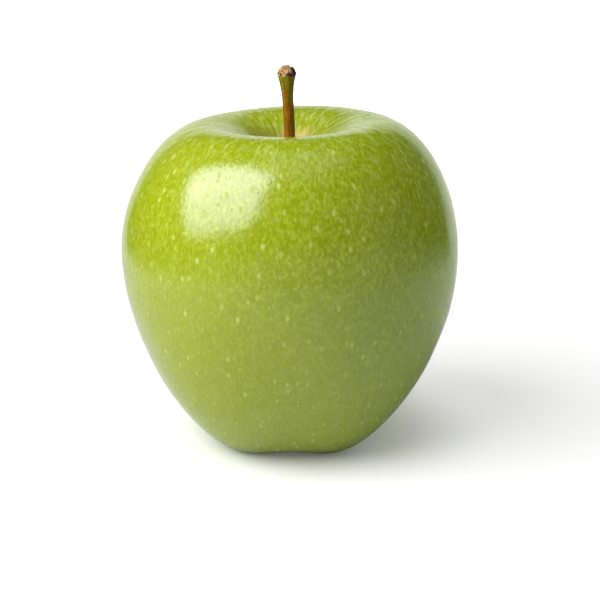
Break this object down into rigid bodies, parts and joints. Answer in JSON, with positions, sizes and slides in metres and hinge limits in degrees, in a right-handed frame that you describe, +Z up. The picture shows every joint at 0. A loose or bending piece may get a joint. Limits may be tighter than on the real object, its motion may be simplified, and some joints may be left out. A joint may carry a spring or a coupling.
{
  "type": "apple",
  "caption": "Whole green apple standing on its base lobes, with a woody stem in its cavity and a dried calyx in the basin underneath.",
  "frame": {"origin": "on the table under the middle of the fruit, at the bottom centre of its box", "axes": "+Z up along the core from the calyx to the stem, +X towards the slightly higher shoulder, away from the stem's lean"},
  "size_m": [0.08, 0.08, 0.0899],
  "materials": {
    "skin": "satin",
    "stem": "matte",
    "calyx": "matte"
  },
  "bodies": {
    "root": {"fruit": "skin", "stem": "stem", "sepal_1": "calyx", "sepal_2": "calyx", "sepal_3": "calyx", "sepal_4": "calyx", "sepal_5": "calyx", "stamen_tuft": "calyx"}
  },
  "joints": []
}
